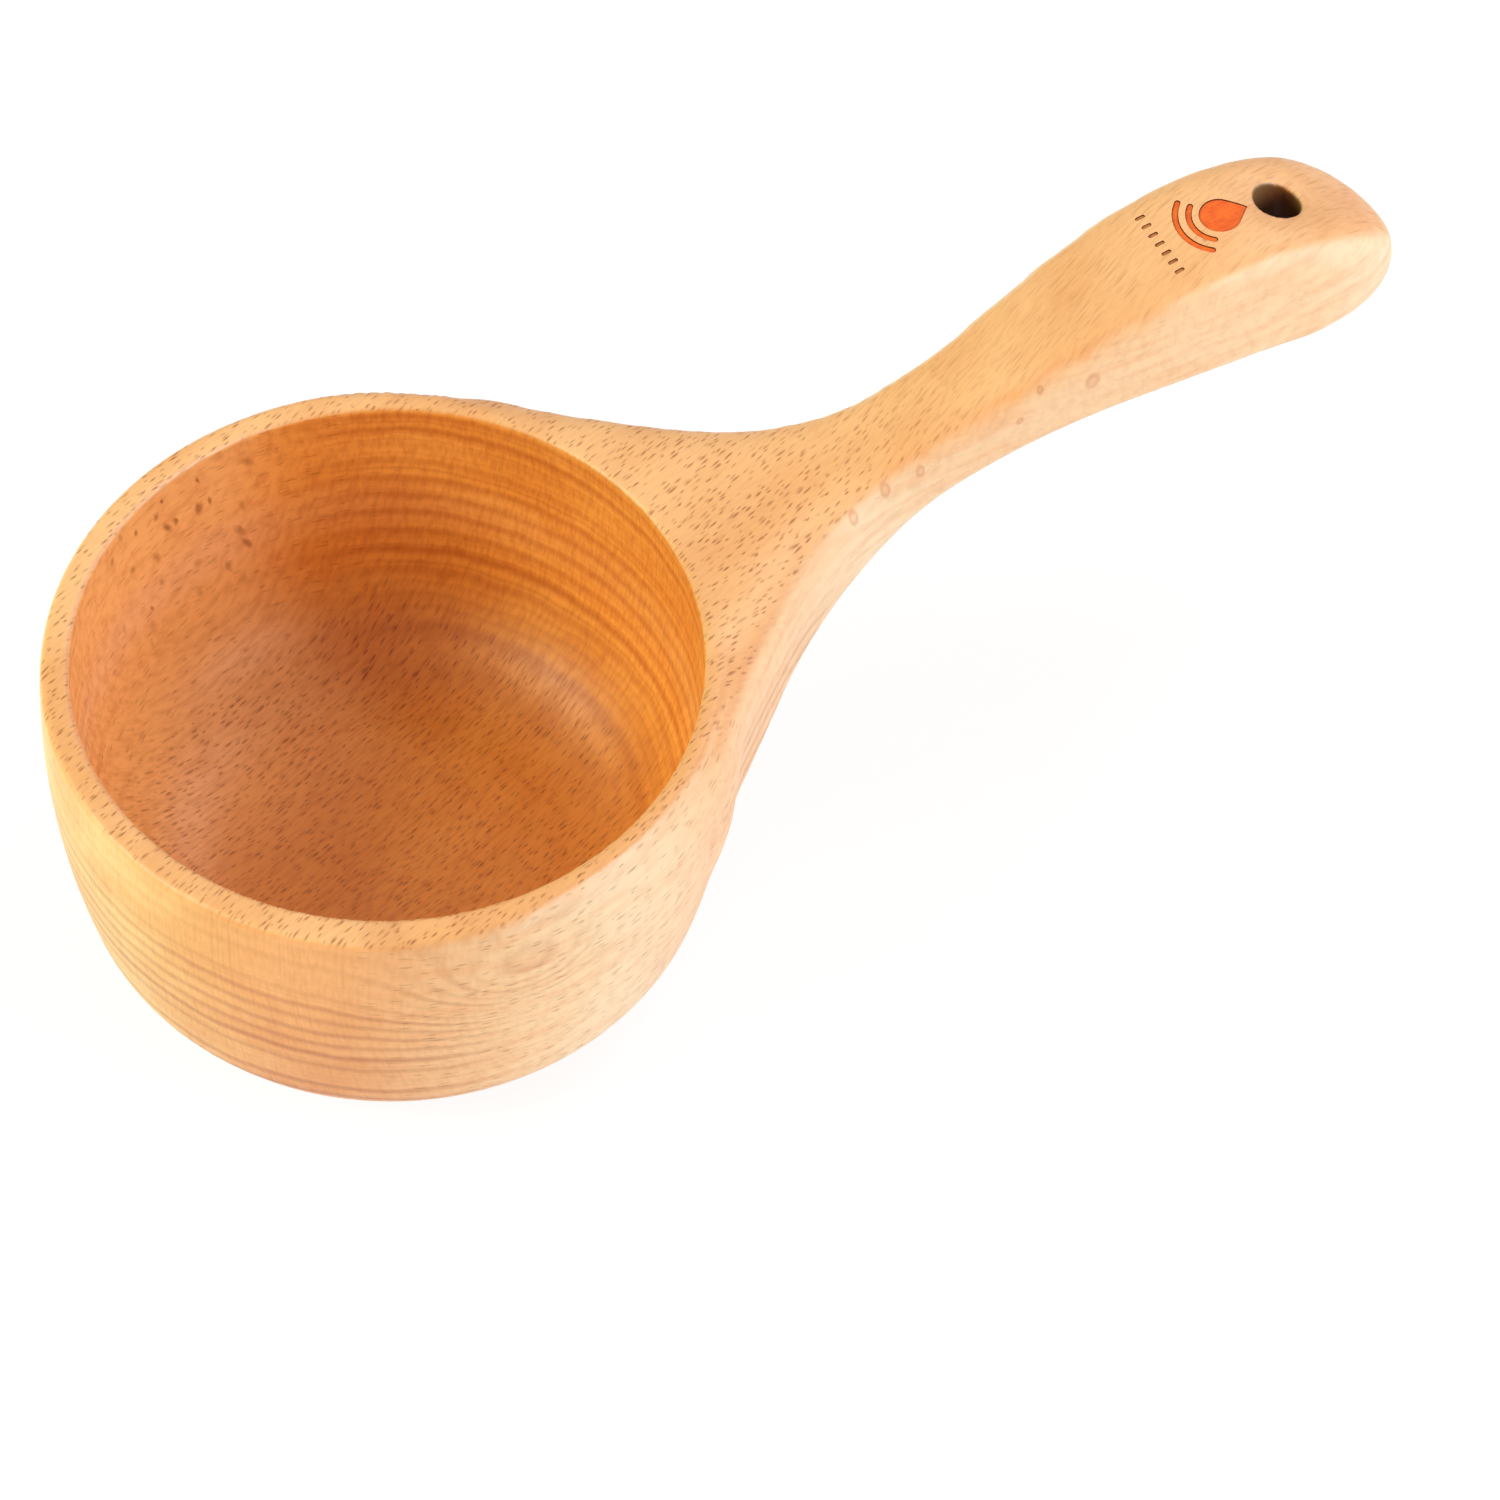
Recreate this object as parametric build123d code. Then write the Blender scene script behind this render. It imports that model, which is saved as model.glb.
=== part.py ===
from build123d import *
from math import acos, asin, cos, degrees, radians, sin, tan
import os

os.makedirs("parts", exist_ok=True)

# A short-handled water dipper carved from one block of beech, with a coloured mark let into its handle.
# Millimetres: the foot stands on Z = 0 around the origin, and the handle runs along +X.

# Cup, outside
CUP_HEIGHT = 66.0
RIM_RADIUS = 63.7
BELLY_SWELL = 0.3
BELLY_BELOW_RIM = 10.0
FOOT_TAPER = 8.1
FOOT_ROUNDING = 16.0

# Cup, hollow
RIM_WIDTH = 5.7
HOLLOW_SWELL = 0.2
HOLLOW_TAPER = 9.5
HOLLOW_ROUNDING = 26.0
FLOOR_THICKNESS = 8.5
HOLLOW_SHIFT = 0.8
OPENING_EDGE = 0.8

# Handle in plan at the rim's level, measured outwards from the rim
HANDLE_REACH = 150.0
FLARE_ANGLE = 38.7
FLARE_RADIUS = 70.0
FLARE_BITE = 0.7
NECK_WIDTH = 18.2
GRIP_WIDTH = 24.8
END_LENGTH = 23.5
SIDE_DRAFT = 3.0

# Handle from the side, measured from the rim and from its level
RISE_START = 16.3
HANDLE_RISE = 23.3
CREST_SETBACK = 39.5
END_RADIUS = 42.8
ROOT_INSET = 18.0
ROOT_DEPTH = 38.0
ROOT_SLOPE = 10.0
ARCH_REACH = 91.0
ARCH_DEPTH = 7.8
ARCH_RADIUS = 180.0

# Rounded edges
TOP_EDGE = 1.5
UNDER_EDGE = 6.0
ROOT_FILLET = 22.0

# Hanging hole
HOLE_DIAMETER = 9.0
HOLE_SETBACK = 25.5
HOLE_EDGE = 0.8

# Coloured mark: a drop over its ripples, and a row of strokes
POCKET_DEPTH = 0.9
FILL_SUNK = 0.25
FILL_CLEARANCE = 0.05
DROP_RADIUS = 4.0
DROP_LENGTH = 10.0
DROP_SETBACK = 38.0
RIPPLE_COUNT = 2
RIPPLE_WIDTH = 1.2
RIPPLE_GAP = 1.3
RIPPLE_SWEEP = 100.0
STROKE_COUNT = 7
STROKE_LENGTH = 2.0
STROKE_WIDTH = 0.8
STROKE_PITCH = 2.4
STROKE_SETBACK = 51.0

# Places and spare wood that follow from the sizes above
SPARE = 8.0
OPENING_RADIUS = RIM_RADIUS - RIM_WIDTH
TIP = RIM_RADIUS + HANDLE_REACH
CREST = TIP - CREST_SETBACK
BLANK_TOP = CUP_HEIGHT + HANDLE_RISE + SPARE
BLANK_SIDE = RIM_RADIUS + BELLY_SWELL + SPARE


def outline(faces):
    """The edges around a patch of faces, without those between them."""
    edges = ShapeList(edge for face in faces for edge in face.edges())
    return ShapeList(edge for edge in edges if edges.count(edge) == 1)


def facing(shape, direction):
    """The faces of a shape that look mostly up, with direction 1, or mostly down, with -1."""
    return shape.faces().filter_by(lambda face: direction * face.normal_at().Z > 0.5)


def rim_circles(body):
    """The circles that lie level with the rim, the smallest first."""
    level = body.edges().filter_by_position(Axis.Z, CUP_HEIGHT - 0.01, CUP_HEIGHT + 0.01)
    return level.filter_by(GeomType.CIRCLE).sort_by(SortBy.RADIUS)


def inset(height):
    """How far the drafted sides stand in at a height from where they are at the rim's level."""
    return (CUP_HEIGHT - height) * tan(radians(SIDE_DRAFT))


def bowl(mouth_radius, swell, taper, floor, rounding):
    """A turned bowl from its floor up past the rim, with its seam opposite the handle."""
    mouth = (-mouth_radius, CUP_HEIGHT)
    heel = (taper - mouth_radius, floor)
    wall = ThreePointArc(heel, (-mouth_radius - swell, CUP_HEIGHT - BELLY_BELOW_RIM), mouth)
    rest = Polyline(mouth, (inset(BLANK_TOP) - mouth_radius, BLANK_TOP), (0, BLANK_TOP), (0, floor), heel)
    profile = make_face([wall, rest])
    corner = profile.vertices().sort_by_distance(heel)[0]
    return revolve(Plane.XZ * fillet(corner, rounding), Axis.Z)


def handle_plan(height):
    """The handle seen from above at a height: flares from the cup's wall, a neck, a grip and a round end."""
    neck = NECK_WIDTH / 2 - inset(height)
    grip = GRIP_WIDTH / 2 - inset(height)
    wall = RIM_RADIUS - FLARE_BITE - inset(height)
    radius = FLARE_RADIUS + inset(height)
    slope = radians(FLARE_ANGLE)
    touch = (wall * sin(slope), wall * cos(slope))
    knee = (wall - neck * cos(slope)) / sin(slope)
    reach = radius * tan(slope / 2)
    bend = (knee - reach * cos(slope), neck + reach * sin(slope))
    flare = Line(touch, bend)
    turn = JernArc(bend, (cos(slope), -sin(slope)), radius, FLARE_ANGLE)
    swell = Spline(turn @ 1, (CREST, grip), tangents=((1, 0), (1, 0)))
    side = Line((CREST, grip), (TIP - END_LENGTH, grip))
    half = [flare, turn, swell, side]
    end = EllipticalCenterArc((TIP - END_LENGTH, 0), END_LENGTH - inset(height), grip, -90, arc_size=180)
    root = Line(touch, (touch[0], -touch[1]))
    other_half = [mirror(edge, Plane.XZ) for edge in half]
    return Plane.XY.offset(height) * make_face(half + other_half + [end, root])


def side_line(start, slope, crest, fall_radius):
    """A line seen from the side: it sets out at a slope, eases up to a crest and falls off past the tip."""
    rise = Spline(start, crest, tangents=((1, tan(radians(slope))), (1, 0)))
    run = min(1, (TIP + SPARE - crest[0]) / fall_radius)
    fall = JernArc(crest, (1, 0), fall_radius, -degrees(asin(run)))
    return [rise, fall]


def across(lines):
    """A closed side view carried right across the blank."""
    return extrude(Plane.XZ.offset(-BLANK_SIDE) * make_face(lines), 2 * BLANK_SIDE)


def above_underside():
    """All that lies above the handle's arched underside, which is turned about the cup's axis."""
    root = CUP_HEIGHT - ROOT_DEPTH - ROOT_INSET * tan(radians(ROOT_SLOPE))
    start = (RIM_RADIUS - ROOT_INSET, root)
    arch = (RIM_RADIUS + ARCH_REACH, CUP_HEIGHT - ARCH_DEPTH)
    underside = side_line(start, ROOT_SLOPE, arch, ARCH_RADIUS)
    last = underside[-1] @ 1
    rest = Polyline(last, (last.X, BLANK_TOP), (0, BLANK_TOP), (0, root), start)
    return revolve(Plane.XZ * make_face(underside + [rest]), Axis.Z)


def below_top(depth):
    """All that lies below the top line of rim and handle, or below that line sunk by a depth."""
    rim = CUP_HEIGHT - depth
    start = (RIM_RADIUS + RISE_START, rim)
    top = side_line(start, 0, (CREST, rim + HANDLE_RISE), END_RADIUS)
    last = top[-1] @ 1
    rest = Polyline(last, (last.X, -SPARE), (-BLANK_SIDE, -SPARE), (-BLANK_SIDE, rim), start)
    return across(top + [rest])


def handle_blank():
    """The handle cut to plan and arched below, with its lower edges rounded, still square on top."""
    blank = loft([handle_plan(0), handle_plan(BLANK_TOP)], ruled=True) & above_underside()
    root = blank.faces().sort_by(Axis.X)[0].edges()
    edges = outline(facing(blank, -1)).filter_by(lambda edge: edge not in root)
    return fillet(edges, UNDER_EDGE)


def carved_body():
    """Cup and handle in one piece, shaped on top, hollowed and drilled for hanging."""
    cup = bowl(RIM_RADIUS, BELLY_SWELL, FOOT_TAPER, 0, FOOT_ROUNDING)
    handle = handle_blank()
    joined = cup + handle
    joined = fillet(new_edges(cup, handle, combined=joined), ROOT_FILLET)
    shaped = joined & below_top(0)
    shaped = fillet(outline(facing(shaped, 1)), TOP_EDGE)
    hollow = bowl(OPENING_RADIUS, HOLLOW_SWELL, HOLLOW_TAPER, FLOOR_THICKNESS, HOLLOW_ROUNDING)
    hollowed = shaped - Pos(0, HOLLOW_SHIFT) * hollow
    hollowed = fillet(rim_circles(hollowed)[0], OPENING_EDGE)
    drill = Pos(TIP - HOLE_SETBACK, 0) * extrude(Circle(HOLE_DIAMETER / 2), BLANK_TOP)
    drilled = hollowed - drill
    return fillet(new_edges(hollowed, drill, combined=drilled), HOLE_EDGE)


def drop():
    """A water drop lying along the handle, with its point towards the handle's end."""
    point = DROP_LENGTH - DROP_RADIUS
    turn = degrees(acos(DROP_RADIUS / point))
    bulb = CenterArc((0, 0), DROP_RADIUS, turn, 360 - 2 * turn)
    sides = Polyline(bulb @ 1, (point, 0), bulb @ 0)
    return Pos(TIP - DROP_SETBACK, 0) * make_face([bulb, sides])


def ripples():
    """Arcs that spread from the drop towards the cup."""
    arcs = Sketch()
    for ring in range(RIPPLE_COUNT):
        radius = DROP_RADIUS + RIPPLE_GAP + RIPPLE_WIDTH / 2 + ring * (RIPPLE_WIDTH + RIPPLE_GAP)
        arc = CenterArc((0, 0), radius, 180 - RIPPLE_SWEEP / 2, RIPPLE_SWEEP)
        arcs += SlotArc(arc, RIPPLE_WIDTH)
    return Pos(TIP - DROP_SETBACK, 0) * arcs


def strokes():
    """A row of short strokes across the handle."""
    stroke = SlotOverall(STROKE_LENGTH, STROKE_WIDTH)
    row = Sketch() + GridLocations(0, STROKE_PITCH, 1, STROKE_COUNT) * stroke
    return Pos(TIP - STROKE_SETBACK, 0) * row


def standing(motif):
    """A flat motif carried up through the top of the handle."""
    return extrude(Plane.XY.offset(CUP_HEIGHT) * motif, BLANK_TOP - CUP_HEIGHT)


def pocket(motif):
    """The shallow recess for a motif, with a floor that follows the top of the handle."""
    return standing(motif) - below_top(POCKET_DEPTH)


def fill(motif):
    """The coloured fill of a motif's recess, a little below the wood around it."""
    core = standing(offset(motif, -FILL_CLEARANCE)) & below_top(FILL_SUNK)
    return core - below_top(POCKET_DEPTH - FILL_CLEARANCE)


motifs = {"drop_inlay": drop(), "ripple_inlays": ripples(), "stroke_inlays": strokes()}
body = carved_body()
for motif in motifs.values():
    body -= pocket(motif)
export_step(body, "parts/ladle_body.step")
for name, motif in motifs.items():
    export_step(fill(motif), f"parts/{name}.step")
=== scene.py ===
"""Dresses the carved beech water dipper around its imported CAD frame."""
import logging
import math
from collections.abc import Iterator
from contextlib import contextmanager
from dataclasses import dataclass
from enum import Enum
from functools import reduce
from typing import Any

import bmesh
import bpy
from mathutils import Matrix, Vector


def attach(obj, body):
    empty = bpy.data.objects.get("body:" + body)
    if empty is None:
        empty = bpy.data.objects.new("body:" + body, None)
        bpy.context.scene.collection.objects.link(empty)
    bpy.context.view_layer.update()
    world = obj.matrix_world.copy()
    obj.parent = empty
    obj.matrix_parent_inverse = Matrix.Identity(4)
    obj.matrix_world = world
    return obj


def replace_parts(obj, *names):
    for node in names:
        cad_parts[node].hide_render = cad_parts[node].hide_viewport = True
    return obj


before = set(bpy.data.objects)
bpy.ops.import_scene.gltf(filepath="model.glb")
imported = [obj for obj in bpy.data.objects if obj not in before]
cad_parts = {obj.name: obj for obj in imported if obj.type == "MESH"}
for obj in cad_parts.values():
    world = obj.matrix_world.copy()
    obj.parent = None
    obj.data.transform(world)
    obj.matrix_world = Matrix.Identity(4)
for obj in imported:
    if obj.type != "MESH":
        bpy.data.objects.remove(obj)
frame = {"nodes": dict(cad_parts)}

log = logging.getLogger("dipper")

Colour = tuple[float, float, float, float]
Pair = tuple[float, float]
Triple = tuple[float, float, float]
# Where a change of a number starts and ends and, if that isn't 0 and 1, what it gives there.
Ramp = tuple[float, ...]
Socket = bpy.types.NodeSocket
Nodes = dict[str, bpy.types.Object]

BODY = "root"
MM = 0.001
SPECK = 0.001 * MM
QUARTER_TURN = 90.0
LEVEL = (1.0, 1.0, 0.0)
UP = (0.0, 0.0, 1.0)
DOWN = (0.0, 0.0, -1.0)
WHITE = (1.0, 1.0, 1.0, 1.0)


class Node(Enum):
    """The CAD nodes that the pieces stand for."""

    LADLE = "ladle_body"
    DROP = "drop_inlay"
    RIPPLES = "ripple_inlays"
    STROKES = "stroke_inlays"


class Slot(Enum):
    """The record's material slots."""

    BEECH = "beech"
    ORANGE = "orange_fill"
    BROWN = "brown_fill"


SLOTS = {Node.LADLE: Slot.BEECH, Node.DROP: Slot.ORANGE, Node.RIPPLES: Slot.ORANGE, Node.STROKES: Slot.BROWN}


def srgb(*channels: int) -> Colour:
    """Red, green and blue in 8-bit sRGB as the linear colour that Blender's sockets take, with full alpha."""
    shares = [channel / 255 for channel in channels]
    return (*(s / 12.92 if s <= 0.04045 else ((s + 0.055) / 1.055) ** 2.4 for s in shares), 1.0)


class Graph:
    """A node tree that is built with short calls, most of which return an output socket."""

    def __init__(self, tree: bpy.types.NodeTree) -> None:
        """Takes a material's or a modifier's node tree to build in."""
        self.tree = tree

    def feed(self, socket: Socket, value: Any) -> None:
        """Links an output to an input, or sets the input's value.

        Args:
            socket: The input.
            value: An output socket or a plain value.
        """
        if isinstance(value, Socket):
            self.tree.links.new(value, socket)
        else:
            socket.default_value = value

    def node(self, kind: str, inputs: dict[str | int, Any] | None = None, **settings: Any) -> bpy.types.Node:
        """Adds a node.

        Args:
            kind: The node's type name.
            inputs: Input names or numbers with what feeds them.
            **settings: The node's own properties.

        Returns:
            The node.
        """
        made = self.tree.nodes.new(kind)
        for name, value in settings.items():
            setattr(made, name, value)
        for key, value in (inputs or {}).items():
            self.feed(made.inputs[key], value)
        return made

    def first(self, kind: str, inputs: dict[str | int, Any] | None = None, **settings: Any) -> Socket:
        """Adds a node like node does, and returns its first output."""
        return self.node(kind, inputs, **settings).outputs[0]

    def math(self, operation: str, a: Any, b: Any = 0.0) -> Socket:
        """One sum on one or two numbers, by the Math node's name for it."""
        return self.first("ShaderNodeMath", {0: a, 1: b}, operation=operation)

    def times(self, *values: Any) -> Socket:
        """The product of some numbers."""
        return reduce(lambda a, b: self.math("MULTIPLY", a, b), values)

    def most(self, *values: Any) -> Socket:
        """The largest of some numbers."""
        return reduce(lambda a, b: self.math("MAXIMUM", a, b), values)

    def rest(self, share: Any) -> Socket:
        """What a share leaves of the whole."""
        return self.math("SUBTRACT", 1.0, share)

    def away(self, a: Any, b: Any) -> Socket:
        """How far two numbers are apart."""
        return self.math("ABSOLUTE", self.math("SUBTRACT", a, b))

    def vector(self, operation: str, a: Any, b: Any = (0.0, 0.0, 0.0)) -> Socket:
        """One sum on one or two vectors that gives a vector, by the Vector Math node's name for it."""
        return self.first("ShaderNodeVectorMath", {0: a, 1: b}, operation=operation)

    def scaled(self, direction: Any, amount: Any) -> Socket:
        """A vector made longer or shorter by an amount."""
        return self.first("ShaderNodeVectorMath", {0: direction, "Scale": amount}, operation="SCALE")

    def dot(self, a: Any, b: Any) -> Socket:
        """How much one vector goes along another."""
        return self.node("ShaderNodeVectorMath", {0: a, 1: b}, operation="DOT_PRODUCT").outputs["Value"]

    def length(self, vector: Any) -> Socket:
        """How long a vector is."""
        return self.node("ShaderNodeVectorMath", {0: vector}, operation="LENGTH").outputs["Value"]

    def reach(self, place: Any, centre: Any) -> Socket:
        """How far a place is from the upright line through a centre."""
        return self.length(self.vector("MULTIPLY", self.vector("SUBTRACT", place, centre), LEVEL))

    def parts(self, vector: Any) -> tuple[Socket, ...]:
        """A vector's three numbers."""
        return tuple(self.node("ShaderNodeSeparateXYZ", {0: vector}).outputs)

    def joined(self, x: Any = 0.0, y: Any = 0.0, z: Any = 0.0) -> Socket:
        """Three numbers as a vector."""
        return self.first("ShaderNodeCombineXYZ", {0: x, 1: y, 2: z})

    def span(self, value: Any, start: Any, end: Any, low: Any = 0.0, high: Any = 1.0,
             smooth: bool = True) -> Socket:
        """Maps a range of a number to another range, kept within it.

        Args:
            value: The number.
            start: Where the low end lies.
            end: Where the high end lies.
            low: The result at the start.
            high: The result at the end.
            smooth: Whether the ends ease in and out.

        Returns:
            The mapped number.
        """
        kind = "SMOOTHSTEP" if smooth else "LINEAR"
        inputs = {0: value, 1: start, 2: end, 3: low, 4: high}
        return self.first("ShaderNodeMapRange", inputs, interpolation_type=kind)

    def blend(self, factor: Any, a: Any, b: Any, mode: str = "MIX") -> Socket:
        """Mixes two colours, with a factor for how much of the second, in one of the Mix node's modes."""
        mix = self.node("ShaderNodeMix", {0: factor, 6: a, 7: b}, data_type="RGBA", blend_type=mode)
        return mix.outputs[2]

    def noise(self, where: Any, scale: float, detail: float, roughness: float = 0.5) -> Socket:
        """Cloudy noise around one half, of a scale, with finer layers of detail as strong as the roughness."""
        inputs = {"Vector": where, "Scale": scale, "Detail": detail, "Roughness": roughness}
        return self.first("ShaderNodeTexNoise", inputs)

    def drift(self, where: Any, scale: float, detail: float) -> Socket:
        """Cloudy noise like noise gives, with a value of its own in each of three directions."""
        return self.node("ShaderNodeTexNoise", {"Vector": where, "Scale": scale, "Detail": detail}).outputs["Color"]

    def place(self) -> Socket:
        """Where the points of a geometry are."""
        return self.first("GeometryNodeInputPosition")

    def moved(self, shape: Any, key: str, value: Any) -> Socket:
        """A geometry with its points at another Position or moved by an Offset, whichever the key names."""
        return self.first("GeometryNodeSetPosition", {"Geometry": shape, key: value})

    def real(self, shape: Any) -> Socket:
        """A geometry with its instances made real."""
        return self.first("GeometryNodeRealizeInstances", {"Geometry": shape})

    def surface(self, holder: Any) -> Socket:
        """The geometry of an object."""
        return self.node("GeometryNodeObjectInfo", {"Object": holder}).outputs["Geometry"]


@dataclass(frozen=True)
class Spots:
    """Scattered lens-shaped spots of differing size and depth, one at most in each cell of a plane.

    The cell has a length and a width, the largest spot's half size is in cells, and a share of the cells has a spot.
    """

    cell: Pair
    reach: float
    share: float
    drift_scale: float = 0.9
    drift_detail: float = 2.0
    drift: Triple = (0.9, 0.5, 0.0)
    smallest: float = 0.5
    core: float = 0.15
    faintest: float = 0.4

    def dark(self, g: Graph, u: Any, v: Any) -> Socket:
        """Where the spots are.

        Args:
            g: The graph.
            u: The place along the spots.
            v: The place across them.

        Returns:
            How dark it is, from 0 to 1.
        """
        flat = g.joined(g.math("DIVIDE", u, self.cell[0]), g.math("DIVIDE", v, self.cell[1]))
        drift = g.vector("MULTIPLY", g.drift(flat, self.drift_scale, self.drift_detail), self.drift)
        bent = g.vector("ADD", flat, drift)
        cells = g.node("ShaderNodeTexVoronoi", {"Vector": bent, "Scale": 1.0}, voronoi_dimensions="2D").outputs
        chance = g.node("ShaderNodeSeparateColor", {0: cells["Color"]}).outputs
        least = 1.0 - self.share
        size = g.span(chance[0], least, 1.0, self.smallest * self.reach, self.reach, smooth=False)
        spot = g.span(cells["Distance"], g.times(size, self.core), size, 1.0, 0.0)
        depth = g.span(chance[1], 0.0, 1.0, self.faintest, 1.0, smooth=False)
        return g.times(spot, g.math("GREATER_THAN", chance[0], least), depth)


@dataclass(frozen=True)
class Cloud:
    """Cloudy noise drawn out like a cell in the wood's directions, with a ramp from none to all of it."""

    cell: Triple
    ramp: Ramp
    roughness: float = 0.5
    detail: float = 3.0

    def share(self, g: Graph, wood: Any) -> Socket:
        """How much of it there is at a place in the wood, from 0 to 1."""
        return g.span(g.noise(g.vector("DIVIDE", wood, self.cell), 1.0, self.detail, self.roughness), *self.ramp)


@dataclass(frozen=True)
class Faces:
    """Faces that look along a bearing in degrees from +X, or against it, with a ramp for how much they do."""

    bearing: float
    ramp: Ramp

    def share(self, g: Graph, normal: Any) -> Socket:
        """How much a face with a normal belongs to them, from 0 to 1 or as the ramp says."""
        turn = math.radians(self.bearing)
        return g.span(g.math("ABSOLUTE", g.dot(normal, (math.cos(turn), math.sin(turn), 0.0))), *self.ramp)


@dataclass(frozen=True)
class BeechFinish:
    """Oiled beech as a solid: growth layers, ray flecks and fibre, with painted light and shade in its colour: paler,
    yellower faces where the lamps fall, painted shade on the front faces, in the hollow, on its floor and in the
    bore, and a painted sheen in the hollow.

    Lengths are in millimetres. The wood's own directions are along the grain, across it and up through the layers.
    """

    grain_turn: float = 18.0
    wave_scale: float = 0.02
    wave_detail: float = 1.0
    wave_reach: Triple = (0.0, 4.0, 4.0)
    tone_cloud: Cloud = Cloud((70.0, 22.0, 16.0), (0.36, 0.64))
    # Streaks in the paler colour that paints light on the lamp-lit faces.
    lit_side_cloud: Cloud = Cloud((18.0, 30.0, 2.6), (0.42, 0.66), 0.55)
    fibre_cloud: Cloud = Cloud((5.0, 0.75, 3.0), (0.35, 0.75), 0.6)
    fibre_hollow: Ramp = (0.0, 1.0, 0.22, 0.5)
    end_faces: Faces = Faces(grain_turn, (0.45, 0.8, 1.0, 0.14))
    side_faces: Faces = Faces(grain_turn + QUARTER_TURN, (0.5, 0.78))
    # Painted light: faces that look towards the side lamps get the paler colour that lit beech shows.
    lit_faces: Faces = Faces(22.0 + QUARTER_TURN, (0.47, 0.94))
    # Painted shade: outer faces turned to the front, between the lamps, get darker and more orange.
    front_shade_faces: Faces = Faces(55.0, (0.6, 0.96))
    # Painted light: outer faces looking along the handle, most the cup's left side, get a yellow glow.
    glow_faces: Faces = Faces(0.0, (0.7, 0.97))
    shoulder_place: float = 56.0
    shoulder_ramp: Ramp = (8.0, 44.0, 0.42, 1.0)
    # Painted sheen on one side of the hollow and its floor:
    sheen_across: Ramp = (2.0, 34.0)
    sheen_along: Ramp = (12.0, 30.0, 0.95, 0.0)
    # Painted shade on the hollow's floor, weaker where the painted sheen lies.
    floor_shade_height: Ramp = (9.0, 32.0, 1.0, 0.0)
    floor_shade_under_sheen: Ramp = (0.0, 1.0, 1.0, 0.45)
    hollow_shift: float = 0.8
    rim_height: float = 66.0
    rim_ramp: Ramp = (0.15, 0.9)
    wall_middle: float = 61.0
    wall_lean: float = 0.149
    wall_ramp: Ramp = (-0.5, 0.5, 1.0, 0.0)
    foot_ramp: Ramp = (3.0, 5.0)
    bore_place: Triple = (188.2, 0.0, 0.0)
    # Painted shade on the walls of the bore.
    bore_shade_ramp: Ramp = (4.5, 5.0, 1.0, 0.0)
    layer_pitch: float = 4.4
    layer_depth: float = 0.8
    layer_noise: Pair = (0.12, 2.0)
    layer_ripple: float = 1.8
    layer_inner: Ramp = (20.0, 44.0, 0.05, 1.0)
    layer_outer: Ramp = (66.0, 84.0, 1.0, 0.15)
    layer_high: Ramp = (42.0, 58.0, 1.0, 0.3)
    layer_low: Ramp = (9.0, 18.0, 0.35, 1.0)
    finer_layers: float = 2.3
    finer_hollow: Ramp = (0.0, 1.0, 0.25, 0.55)
    band_start: Ramp = (0.12, 0.5)
    band_end: Ramp = (0.56, 0.86, 1.0, 0.0)
    band_depth: Ramp = (0.0, 1.0, 0.2, 1.0)
    swirl_place: Triple = (-25.0, -57.0, 51.5)
    swirl_reach: Triple = (13.0, 20.0, 9.0)
    swirl_height: float = 24.0
    swirl_depth: float = 0.6
    fleck_spots: Spots = Spots((3.3, 0.85), 0.45, 0.8)
    fleck_along: Ramp = (75.0, 130.0, 0.9, 0.16)
    fleck_hollow: Ramp = (0.0, 1.0, 1.0, 0.85)
    streak_spots: Spots = Spots((7.5, 0.8), 0.46, 0.7)
    streak_depth: float = 0.32
    streak_along: Ramp = (70.0, 110.0)
    side_spots: Spots = Spots((4.2, 1.0), 0.40, 0.5)
    side_along: Ramp = (20.0, 60.0, 0.6, 0.12)
    blot_spots: Spots = Spots((4.2, 8.0), 0.32, 0.75)
    blot_slant: float = 0.25
    blot_place: float = 3.0
    blot_along: Ramp = (14.0, 24.0, 1.0, 0.0)
    blot_across: Ramp = (30.0, 44.0)
    blot_height: Ramp = (24.0, 38.0)
    knots: tuple[tuple[Triple, float], ...] = (
        ((142.0, -11.0, 73.8), 2.6), ((131.4, -10.3, 76.3), 1.1), ((127.6, -9.7, 68.9), 1.2),
        ((106.9, -8.9, 65.6), 1.5), ((99.3, -9.1, 64.9), 1.7), ((91.6, -10.8, 63.4), 1.7))
    knot_narrow: float = 0.6
    knot_core: Ramp = (0.2, 0.8, 0.55, 1.0)
    knot_edge: Ramp = (0.65, 1.35, 1.0, 0.0)
    knot_depth: float = 0.6
    pale: Colour = (0.93, 0.51, 0.235, 1.0)
    tan: Colour = (0.86, 0.42, 0.17, 1.0)
    # The paler colour of the lamp-lit faces and its streaks: painted light.
    side: Colour = (0.92, 0.71, 0.47, 1.0)
    lit_side_streak: Colour = (0.90, 0.62, 0.38, 1.0)
    # The colour of the painted sheen.
    sheen: Colour = (0.98, 0.66, 0.55, 1.0)
    # Painted shade on the front faces.
    front_shade_tone: Colour = (1.03, 0.87, 0.72, 1.0)
    # Painted light: the yellow glow.
    glow_tone: Colour = (0.98, 1.14, 1.05, 1.0)
    # Painted shade: the hollow is darker and more orange, as shade and bounce light make it.
    hollow_shade: Colour = (1.0, 0.79, 0.34, 1.0)
    # Painted shade on the hollow's floor.
    floor_shade_tone: Colour = (0.84, 0.80, 0.74, 1.0)
    line_tone: Colour = (0.66, 0.45, 0.37, 1.0)
    fleck_tone: Colour = (0.42, 0.26, 0.16, 1.0)
    knot_tone: Colour = (0.72, 0.45, 0.30, 1.0)
    # Painted shade in the bore.
    bore_shade: Colour = (0.26, 0.18, 0.12, 1.0)
    specular: float = 0.5
    roughness: float = 0.40
    fleck_roughness: float = 0.14
    fibre_roughness: float = 0.1
    bump: float = 0.12
    bump_distance: float = 0.3 * MM
    fibre_height: float = -0.35

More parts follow.
